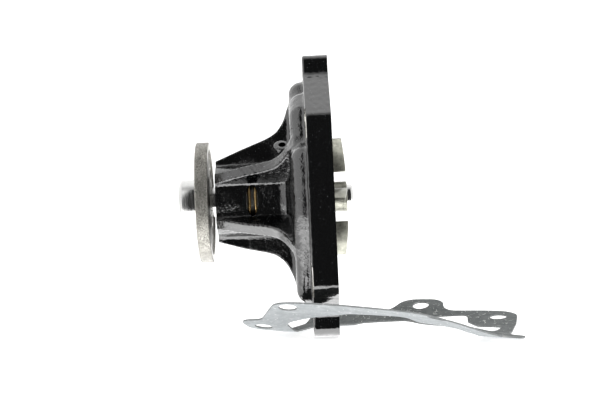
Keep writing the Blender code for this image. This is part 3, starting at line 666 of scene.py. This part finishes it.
# ---------------------------------------------------------------- pieces
def bolt_cutters(name, y, z):
    """A bolt's drilled hole, chamfered at both ends, and its spot-faced seat."""
    seat = EAR_FRONT if name in EARS else SPOTFACE_FRONT
    r, c = BOLT_HOLE_RADIUS, 0.45
    hole = [(-30, 0), (-30, r + c), (seat, r + c), (seat + c, r), (-c, r), (0, r + c),
            (3, r + c), (3, 0)]
    spot = [(-30, 0), (-30, SPOTFACE_RADIUS), (seat - 0.3, SPOTFACE_RADIUS),
            (seat, SPOTFACE_RADIUS - 0.3), (seat, 0)]
    return [turned("seat_" + name, spot, 72, MILLED, (y, z)),
            turned("hole_" + name, hole, 48, MILLED, (y, z))]


def window_cutter():
    half_x, half_z = WINDOW
    outline = rounded([(-1, -1, 1), (1, -1, 1), (1, 1, 1), (-1, 1, 1)], steps=8)
    bm = bmesh.new()
    ends = [[bm.verts.new(((CLIP_X + p.x * half_x) * MM, y * MM, p.y * half_z * MM))
             for p in outline] for y in (-30, -12)]
    for index in range(len(outline)):
        after = (index + 1) % len(outline)
        bm.faces.new((ends[0][index], ends[0][after], ends[1][after], ends[1][index]))
    bm.faces.new(ends[0])
    bm.faces.new(ends[1])
    return from_bmesh("window", bm, PAINT)


def casting():
    low = Vector(GRID_LOW)
    xs, ys, zs = (np.arange(a, b, VOXEL, dtype=np.float32) for a, b in zip(low, Vector(GRID_HIGH)))
    field = casting_field(xs, ys, zs)
    field[0], field[-1] = 1.0, 1.0
    verts, faces = surface(field, np.array(low), VOXEL)
    obj = mesh_object("housing_casting", (verts * MM).tolist(), faces.tolist(), PAINT)
    nose = NOSE_X / MM
    ring = [(-80, -80), (80, -80), (80, 80), (-80, 80)]
    bore = [(nose - 4, 0), (nose - 4, BEARING_RADIUS + 0.8), (nose, BEARING_RADIUS + 0.8),
            (nose + 0.8, BEARING_RADIUS), (CLIP_X - CLIP_SLOT, BEARING_RADIUS),
            (CLIP_X - CLIP_SLOT, CLIP_TOP), (CLIP_X + CLIP_SLOT, CLIP_TOP),
            (CLIP_X + CLIP_SLOT, BEARING_RADIUS), (BEARING_BACK, BEARING_RADIUS),
            (BEARING_BACK, SHOULDER_RADIUS), (-25.1, SHOULDER_RADIUS), (-24.5, SEAL_RELIEF),
            (SEAL_STEP_X, SEAL_RELIEF), (SEAL_STEP_X, SEAL_BORE_RADIUS), (-15.4, SEAL_BORE_RADIUS),
            (-14.9, SEAL_BORE_RADIUS + 0.5), (-13.6, SEAL_BORE_RADIUS + 0.5), (-13.6, 0)]
    cutters = [prism("nose_plane", ring, nose - 10, nose, PAINT),
               prism("rear_plane", ring, 0, 10, MILLED),
               turned("bore", bore, 128, BORED)]
    for name, (y, z) in BOLTS.items():
        cutters += bolt_cutters(name, y, z)
    cutters.append(window_cutter())
    cutters.append(rod("weep", (DRAIN_X, WEEP_Y, WEEP_TOP), (DRAIN_X, WEEP_Y, WEEP_BOTTOM),
                       WEEP_RADIUS, 40, PAINT))
    start, end = polar(VENT_INNER, VENT_ANGLE), polar(VENT_TOP + 3, VENT_ANGLE)
    cutters.append(rod("vent", (DRAIN_X, *start), (VENT_X, *end), VENT_HOLE_RADIUS, 32, PAINT))
    combine(obj, cutters, "DIFFERENCE")
    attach(obj, "housing")
    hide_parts("pump_housing")


def arc(x, radius, centre_x, centre_radius, steps):
    """Points of a quarter turn from (x, centre_radius) to (centre_x, radius)."""
    return [(centre_x + (x - centre_x) * math.cos(t), centre_radius
             + (radius - centre_radius) * math.sin(t))
            for t in (math.pi / 2 * step / steps for step in range(steps + 1))]


def hub():
    tip, back = HUB_LOW.x / MM, HUB_HIGH.x / MM
    radius, front, pilot = HUB_HIGH.z / MM, HUB_FRONT, PILOT_RADIUS
    bore, edge = 8.0, HUB_EDGE
    profile = [(tip + 0.4, bore), (tip, bore + 0.4)]
    profile += [(tip, pilot - 1.5), (tip + 0.15, pilot - 1.2), (tip + 1.35, pilot - 0.1),
                (tip + 1.6, pilot), (front - 0.9, pilot), (front - 0.8, pilot - 0.25),
                (front - 0.15, pilot - 0.25), (front, pilot)]
    profile += [(front, 27.0), (front, radius - edge)]
    profile += arc(front, radius, front + edge, radius - edge, 5)[1:]
    profile += reversed(arc(back, radius, back - edge, radius - edge, 5))
    profile += [(back, 27.6), (back - 0.25, HUB_RIM_INNER), (back - 1.0, 26.8), (back - 1.0, 14.0),
                (back - 0.6, 13.4), (back - 0.6, bore + 0.4), (back - 1.0, bore)]
    obj = turned("hub_turning", profile, 192, BLASTED, sharp=30)
    holes = []
    for index in range(HUB_HOLES):
        centre = polar(HUB_BOLT_CIRCLE, 45 + 360 / HUB_HOLES * index)
        outline = [(-80, 0), (-80, 4.1), (front, 4.1), (front + 0.5, HUB_HOLE_RADIUS),
                   (back - 1.4, HUB_HOLE_RADIUS),
                   (back - 1.0, 4.0), (-60, 4.0), (-60, 0)]
        holes.append(turned("thread_%d" % index, outline, 40, BORED, centre))
    combine(obj, holes, "DIFFERENCE", 30)
    names = {m.name: index for index, m in enumerate(obj.data.materials) if m}
    for finish in (PILOT, FACED):
        if finish.name not in names:
            names[finish.name] = len(obj.data.materials)
            obj.data.materials.append(finish)
    for face in obj.data.polygons:
        if face.material_index != names[BLASTED.name]:
            continue
        x, away = face.center.x / MM, math.hypot(face.center.y, face.center.z) / MM
        if x < front - 0.01 and away < pilot + 0.2:
            face.material_index = names[PILOT.name]
        elif x < front + 0.01 and away < radius - edge + 0.1:
            face.material_index = names[FACED.name]
        elif x > back - 0.01 and away > HUB_RIM_INNER and away < radius - edge + 0.05:
            face.material_index = names[FACED.name]
    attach(obj, "rotor")
    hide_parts("hub_flange")


def shaft():
    tip, tail = SHAFT_LOW.x / MM, SHAFT_HIGH.x / MM
    radius, thin = SHAFT_RADIUS, TAIL_RADIUS
    profile = [(tip + 2.4, 0), (tip + 0.2, 2.0), (tip, 2.2), (tip, radius - 1.0),
               (tip + 1.0, radius)]
    for x in BALL_ROWS:
        for step in range(9):
            turn = math.pi * step / 8
            profile.append((x - TRACK_HALF * math.cos(turn), radius - TRACK_DEPTH * math.sin(turn)))
    profile += [(-16.8, radius), (-16.0, thin), (tail - 1.5, thin)]
    profile += [(x, r) for x, r in arc(tail, thin, tail - 1.5, thin - 1.5, 7)[::-1][1:]]
    profile += [(tail, 2.0), (tail - 0.2, 1.8), (tail - 1.8, 0)]
    obj = turned("shaft_turning", profile, 128, GROUND, sharp=30)
    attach(obj, "rotor")
    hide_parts("bearing_shaft")


def vane(name, phase):
    """One swept blade, bent out of the disc, with softened sheared edges."""
    steps, root = 20, VANE_ROOT_X
    bm = bmesh.new()
    rings = []
    for step in range(steps + 1):
        t = step / steps
        radius = VANE_INNER + (VANE_OUTER - VANE_INNER) * t
        angle = phase + VANE_SWEEP * (1 - t)
        half = math.degrees(VANE_HALF_THICK / radius)
        top = VANE_INNER_X + (VANE_OUTER_X - VANE_INNER_X) * t ** 1.5
        rings.append([bm.verts.new((x * MM, *(MM * c for c in polar(radius, angle + side))))
                      for x, side in ((root, -half), (top, -half), (top, half), (root, half))])
    for here, there in zip(rings, rings[1:]):
        for index in range(4):
            after = (index + 1) % 4
            bm.faces.new((here[index], here[after], there[after], there[index]))
    bm.faces.new(rings[0])
    bm.faces.new(rings[-1])
    return bevelled(from_bmesh(name, bm, PLATED), 0.28)


def impeller():
    bore, collar, rim = IMPELLER_BORE, COLLAR_RADIUS, IMPELLER_RADIUS
    front, back = DISC_FRONT, DISC_BACK
    profile = [(-5.0, bore + 0.2), (-5.0, collar - 0.2), (-4.8, collar), (front - 0.6, collar),
               (front, collar + 0.6), (front, rim - 0.25), (front + 0.25, rim),
               (back - 0.25, rim), (back, rim - 0.25)]
    profile += [(back, collar + 1.2), (back + 0.25, collar + 0.5), (back + 1.2, collar)]
    profile += [(5.2, collar), (5.3, collar - 0.12), (5.6, collar - 0.12), (5.7, collar),
                (7.4, collar), (7.8, collar - 0.4), (7.8, bore + 0.3), (7.5, bore)]
    disc = turned("impeller_pressing", profile, 160, PLATED)
    vanes = [vane("vane_%d" % index, VANE_PHASE + 360 / VANES * index) for index in range(VANES)]
    combine(disc, vanes, "UNION")
    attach(disc, "rotor")
    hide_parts("impeller")


def retaining_wire():
    radius, wire, offset, spread, steps = 14.95, 0.75, 1.65, 118.0, 90
    forth = [Vector((CLIP_X - offset, *polar(radius, -spread + 2 * spread * step / steps)))
             for step in range(steps + 1)]
    bend = [Vector((CLIP_X - offset * math.cos(turn), *polar(radius, spread + 7 * math.sin(turn))))
            for turn in (math.pi * step / 14 for step in range(1, 14))]
    back = [Vector((CLIP_X + offset, p.y, p.z)) for p in reversed(forth)]
    obj = tube("clip_wire_bent", [p * MM for p in forth + bend + back], wire * MM, 18, WIRE)
    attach(obj, "housing")
    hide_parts("bearing_retaining_wire")


def gasket_height():
    """Thin-plate surface through the places where the sheet is held or rests."""
    lifts = np.array(GASKET_LIFTS, float)

    def kernel(distance):
        return np.where(distance > 0, distance ** 2 * np.log(np.maximum(distance, 1e-9)), 0.0)

    places, count = lifts[:, :2], len(lifts)
    apart = np.linalg.norm(places[:, None] - places[None], axis=2)
    plane = np.column_stack([np.ones(count), places])
    matrix = np.block([[kernel(apart), plane], [plane.T, np.zeros((3, 3))]])
    solved = np.linalg.solve(matrix, np.concatenate([lifts[:, 2], np.zeros(3)]))

    def height(x, y):
        reach = np.linalg.norm(places - np.array((x, y)), axis=1)
        lift = kernel(reach) @ solved[:count] + solved[count:] @ np.array((1.0, x, y))
        rest = GASKET_REST - math.tan(TABLE_TILT) * (x - FLANGE_FRONT)
        spare = lift - rest
        return rest + 0.5 * (spare + math.hypot(spare, 0.25))
    return height


def gasket():
    """Flat sheet cut from a fine grid, then bent over the height surface."""
    grid, half = 1.6, 80
    count = int(2 * half / grid)
    marks = [-half + grid * index for index in range(count + 1)]
    verts = [(x, u, v) for x in (0.0, GASKET_THICK) for u in marks for v in marks]
    side, layer = count + 1, (count + 1) ** 2
    faces = []
    for i in range(count):
        for j in range(count):
            a = i * side + j
            faces.append((a, a + side, a + side + 1, a + 1))
            faces.append((layer + a, layer + a + 1, layer + a + side + 1, layer + a + side))
    rim = ([i for i in range(side)] + [count + side * i for i in range(1, side)]
           + [layer - 1 - i for i in range(1, side)] + [side * (count - i) for i in range(1, count)])
    for a, b in zip(rim, rim[1:] + rim[:1]):
        faces.append((a, b, layer + b, layer + a))
    sheet = mesh_object("gasket_sheet", [tuple(MM * c for c in v) for v in verts], faces, GASKET_LIT_UNDERSIDE)
    bm = bmesh.new()
    bm.from_mesh(sheet.data)
    bmesh.ops.recalc_face_normals(bm, faces=bm.faces)
    bm.to_mesh(sheet.data)
    bm.free()
    keep = prism("keep", [tuple(p) for p in rounded(FLANGE_CORNERS)], -5, 5, GASKET_SHADED_EDGE)
    combine(sheet, [keep], "INTERSECT")
    loops = [[tuple(p) for p in rounded(corners, 8)] for corners in (CHAMBER_CORNERS, PORT_CORNERS)]
    loops += [[(y + BOLT_HOLE_RADIUS * math.cos(t), z + BOLT_HOLE_RADIUS * math.sin(t))
               for t in (2 * math.pi * n / 40 for n in range(40))] for y, z in BOLTS.values()]
    combine(sheet, [prism("loop_%d" % n, loop, -5, 5, GASKET_SHADED_EDGE) for n, loop in enumerate(loops)],
            "DIFFERENCE")
    height, yaw = gasket_height(), math.radians(GASKET_YAW)
    mesh = sheet.data
    names = [m.name for m in mesh.materials]
    for finish in (GASKET_LIT_UNDERSIDE, GASKET_SHADED_TOP, GASKET_SHADED_EDGE):
        if finish.name not in names:
            mesh.materials.append(finish)
            names.append(finish.name)
    # Painted light and shade: the upper face gets the shaded copy of the fibre, the underside gets
    # the lit copy, and the cut edge gets the painted edge shade.
    for face in mesh.polygons:
        if abs(face.normal.x) < 0.5:
            face.material_index = names.index(GASKET_SHADED_EDGE.name)
        else:
            top = face.center.x > GASKET_THICK * MM / 2
            face.material_index = names.index((GASKET_SHADED_TOP if top else GASKET_LIT_UNDERSIDE).name)
    for vert in mesh.vertices:
        thick, across, along = vert.co / MM
        x = GASKET_CENTRE[0] + GASKET_SHRINK[0] * (along * math.cos(yaw) + across * math.sin(yaw))
        y = GASKET_CENTRE[1] + GASKET_SHRINK[1] * (across * math.cos(yaw) - along * math.sin(yaw))
        vert.co = Vector((x, y, height(x, y) + thick)) * MM + Vector((0, 0, FLOOR_Z))
    mesh.update()
    bm = bmesh.new()
    bm.from_mesh(mesh)
    bmesh.ops.recalc_face_normals(bm, faces=bm.faces)
    bm.to_mesh(mesh)
    bm.free()
    mesh.shade_smooth()
    mesh.set_sharp_from_angle(angle=math.radians(50))
    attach(sheet, "housing")
    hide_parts("gasket")


def inner_finishes():
    """Finishes for the CAD nodes that stay in view as they are."""
    race = turned_steel("race_ground", (0.50, 0.49, 0.46), 0.3)
    balls = plain("ball_polished", (0.66, 0.66, 0.67), 1.0, 0.08, 300, 0.0005, 0.08)
    cage = plain("cage_moulded", (0.35, 0.22, 0.10), 0.0, 0.45, 1200, 0.01)
    rubber = plain("rubber_moulded", (0.018, 0.018, 0.018), 0.0, 0.6, 1400, 0.02)
    brass = plain("brass_drawn", (0.78, 0.57, 0.26), 1.0, 0.28, 500, 0.006)
    spring = plain("spring_bright", (0.62, 0.62, 0.62), 1.0, 0.2, 900, 0.004)
    carbon = plain("carbon_lapped", (0.035, 0.035, 0.037), 0.0, 0.38, 1600, 0.008, 0.4)
    ceramic = plain("ceramic_lapped", (0.84, 0.83, 0.79), 0.0, 0.25, 700, 0.003, 0.06)
    thrown = plated_sheet("slinger_plated", (0.5, 0.5, 0.46))
    by_name = {
        "bearing_outer_race": race, "front_cage": cage, "rear_cage": cage,
        "front_bearing_seal": rubber, "rear_bearing_seal": rubber, "slinger": thrown,
        "seal_cup": brass, "seal_bellows": rubber, "seal_spring": spring,
        "seal_front_retainer": spring, "seal_rear_retainer": spring, "carbon_ring": carbon,
        "ceramic_seat": ceramic, "seat_rubber_cup": rubber,
    }
    for name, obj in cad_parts.items():
        finish = by_name.get(name, balls if "_ball_" in name else None)
        if finish:
            obj.data.materials.clear()
            obj.data.materials.append(finish)


# ---------------------------------------------------------------- studio
def studio():
    """A pale table that sweeps up behind the pump, in a tent with a dark opening in front."""
    finish = plain("table_white", (0.75, 0.75, 0.75), 0.0, 0.6, 60, 0.002, 0.01)
    glow = finish.node_tree.nodes["Principled BSDF"].inputs
    glow["Emission Color"].default_value = (1.0, 1.0, 1.0, 1.0)
    glow["Emission Strength"].default_value = 0.6
    profile = [(-1.2, 0.0), (0.9, 0.0)]
    profile += [(0.9 + 0.6 * math.sin(t), 0.6 - 0.6 * math.cos(t))
                for t in (math.pi / 2 * step / 16 for step in range(1, 17))] + [(1.5, 2.2)]
    fall = math.tan(TABLE_TILT)
    verts = [(x, y, FLOOR_Z - 0.0002 + z - fall * (x - FLANGE_FRONT * MM))
             for y, z in profile for x in (-1.8, 1.8)]
    faces = [(2 * n, 2 * n + 1, 2 * n + 3, 2 * n + 2) for n in range(len(profile) - 1)]
    sweep = mesh_object("table_sweep", verts, faces, finish, 60)
    sweep.visible_glossy = False

    world = bpy.data.worlds.new("tent")
    bpy.context.scene.world = world
    world.use_nodes = True
    tree = world.node_tree
    tree.nodes.clear()

    def node(kind, **inputs):
        made = tree.nodes.new(kind)
        for name, value in inputs.items():
            made.inputs[name].default_value = value
        return made

    def maths(operation, a, b=0.0):
        made = node("ShaderNodeMath")
        made.operation = operation
        for socket, value in zip(made.inputs, (a, b)):
            if isinstance(value, (int, float)):
                socket.default_value = value
            else:
                tree.links.new(value, socket)
        return made.outputs[0]

    def step(value, low, high, to_low=0.0, to_high=1.0):
        made = node("ShaderNodeMapRange")
        made.interpolation_type = "SMOOTHSTEP"
        for socket, number in zip(("From Min", "From Max", "To Min", "To Max"),
                                  (low, high, to_low, to_high)):
            made.inputs[socket].default_value = number
        tree.links.new(value, made.inputs["Value"])
        return made.outputs["Result"]

    way = node("ShaderNodeTexCoord").outputs["Generated"]
    parts = node("ShaderNodeSeparateXYZ")
    tree.links.new(way, parts.inputs[0])
    x, y, z = parts.outputs
    level = maths("SQRT", maths("ADD", maths("MULTIPLY", x, x), maths("MULTIPLY", y, y)))
    ahead = maths("DIVIDE", maths("MULTIPLY", y, -1.0), maths("MAXIMUM", level, 0.001))
    opening = maths("MULTIPLY", step(ahead, 0.84, 0.92), step(z, -0.66, -0.58))
    opening = maths("MULTIPLY", opening, step(z, 0.90, 0.965, 1.0, 0.0))
    bright = step(z, -0.62, -0.30, 4.6, 1.6)
    canopy = maths("MULTIPLY", step(z, 0.80, 0.95), step(y, -0.25, 0.25, 1.0, 0.0))
    bright = maths("MULTIPLY", bright, step(canopy, 0.0, 1.0, 1.0, 0.5))
    tent = maths("ADD", maths("MULTIPLY", bright, maths("SUBTRACT", 1.0, opening)),
                 maths("MULTIPLY", opening, 0.045))
    camera_ray = node("ShaderNodeLightPath").outputs["Is Camera Ray"]
    strength = maths("ADD", maths("MULTIPLY", tent, maths("SUBTRACT", 1.0, camera_ray)),
                     maths("MULTIPLY", camera_ray, 1.15))
    background = node("ShaderNodeBackground", Color=(1.0, 1.0, 1.0, 1.0))
    tree.links.new(strength, background.inputs["Strength"])
    out = node("ShaderNodeOutputWorld")
    tree.links.new(background.outputs[0], out.inputs["Surface"])
    bpy.context.scene.view_settings.view_transform = "Standard"
    bpy.context.scene.view_settings.look = "None"


def camera():
    distance, frame_width = 0.75, 0.315
    data = bpy.data.cameras.new("camera")
    data.sensor_width = 36.0
    data.lens = data.sensor_width * distance / frame_width
    data.clip_start, data.clip_end = 0.01, 20.0
    obj = bpy.data.objects.new("camera", data)
    obj.location = (-0.0169, -distance, -0.0009)
    obj.rotation_euler = Euler((math.radians(90), TABLE_TILT, 0))
    bpy.context.scene.collection.objects.link(obj)
    bpy.context.scene.camera = obj


camera()
studio()
casting()
hub()
shaft()
impeller()
retaining_wire()
gasket()
inner_finishes()
